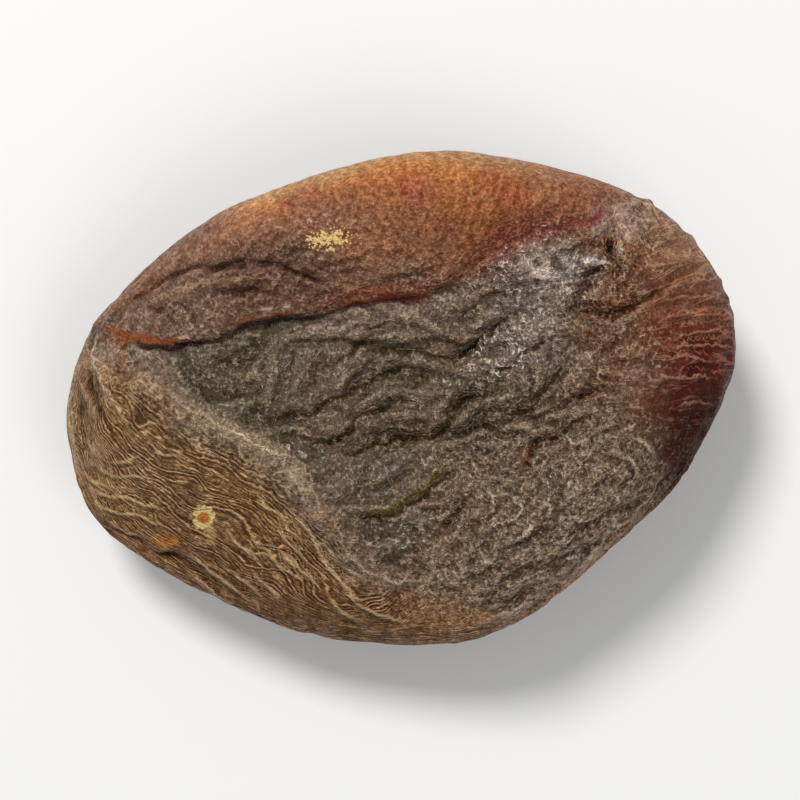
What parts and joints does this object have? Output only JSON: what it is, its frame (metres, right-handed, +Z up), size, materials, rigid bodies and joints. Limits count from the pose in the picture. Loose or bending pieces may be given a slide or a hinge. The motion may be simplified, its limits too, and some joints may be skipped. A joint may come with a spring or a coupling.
{
  "type": "dried apricot",
  "caption": "Whole pitted dried apricot: dark wrinkled fruit with a folded amber flap, a sunken panel and a swollen lobe, lying on its belly.",
  "frame": {"origin": "middle of the footprint box, on the surface that the fruit lies on", "axes": "+X along the fruit's length towards the swollen lobe, +Y towards the amber flap, +Z up"},
  "size_m": [0.04, 0.0294, 0.0144],
  "materials": {
    "apricot_skin": "leathery dried skin, dark brown with an amber flap, satin on the crests of the wrinkles and matt between them"
  },
  "bodies": {
    "root": {"apricot": "apricot_skin"}
  },
  "joints": []
}
